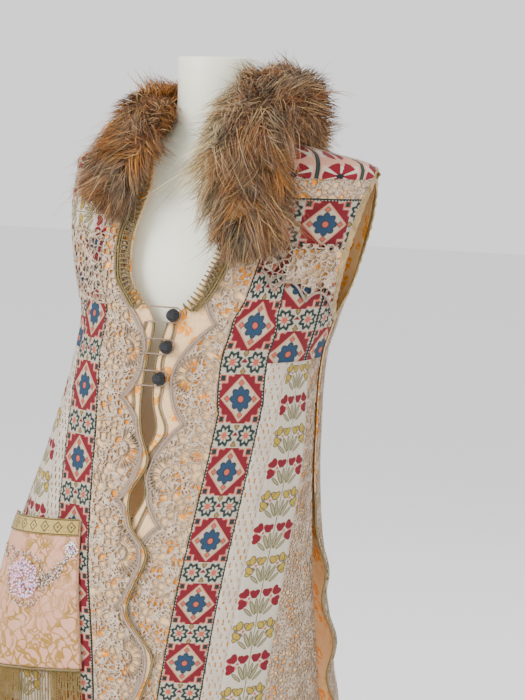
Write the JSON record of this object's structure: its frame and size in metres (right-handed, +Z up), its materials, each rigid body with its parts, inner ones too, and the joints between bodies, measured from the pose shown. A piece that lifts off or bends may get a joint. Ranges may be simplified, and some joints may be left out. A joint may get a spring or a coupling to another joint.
{
  "type": "embroidered folk vest on a dress form",
  "caption": "Long sleeveless patchwork vest with embroidered bands, crochet lace and a fox fur collar, open in front, on a limbless dress form with a round base.",
  "frame": {"origin": "middle of the base plate's underside, where it stands on the floor", "axes": "+Z up along the stand's pole, -Y out of the vest's front, +X to the wearer's left"},
  "size_m": [0.6234, 0.4596, 1.48],
  "materials": {
    "lining": "matte printed cotton",
    "linen": "matte linen",
    "lace": "matte crochet cotton",
    "crimson": "matte cross-stitched cotton",
    "brocade": "soft sheen brocade",
    "gold_cord": "twisted metallic thread",
    "ribbon": "satin",
    "fur": "long soft fur",
    "black_cord": "knotted cord",
    "pearl": "small glossy beads",
    "form": "satin off-white",
    "stand": "satin off-white"
  },
  "bodies": {
    "root": {"armhole_binding_left": "ribbon", "armhole_binding_right": "ribbon", "back": "lining", "back_band_left": "crimson", "back_band_right": "crimson", "back_centre": "linen", "back_flowers_left": "linen", "back_flowers_right": "linen", "back_lace_left": "lace", "back_lace_right": "lace", "back_shoulder": "lace", "back_side_lace_left": "lace", "back_side_lace_right": "lace", "back_yoke": "crimson", "band_left": "crimson", "band_right": "crimson", "button_1": "black_cord", "button_2": "black_cord", "button_3": "black_cord", "cape_lace_left": "lace", "chest_band_left": "crimson", "chest_band_right": "crimson", "edge_cord_left": "gold_cord", "edge_cord_right": "gold_cord", "flower_strip_left": "linen", "flower_strip_right": "linen", "form_torso": "form", "front_left": "lining", "front_right": "lining", "fur_back": "fur", "fur_left": "fur", "fur_right": "fur", "lace_left": "lace", "lace_right": "lace", "ladder_lace_left": "lace", "ladder_lace_right": "lace", "loop_1": "gold_cord", "loop_2": "gold_cord", "loop_3": "gold_cord", "neck_braid_left": "gold_cord", "neck_braid_right": "gold_cord", "pocket_applique": "pearl", "pocket_bag": "brocade", "pocket_braid": "gold_cord", "pocket_fringe": "gold_cord", "short_band_left": "crimson", "short_band_right": "crimson", "shoulder_band_left": "crimson", "shoulder_band_right": "crimson", "shoulder_lace_left": "lace", "shoulder_lace_right": "lace", "side_lace_left": "lace", "side_lace_right": "lace", "slit_cord_left": "gold_cord", "slit_cord_right": "gold_cord", "stand_base": "stand", "stand_pole": "stand"}
  },
  "joints": []
}
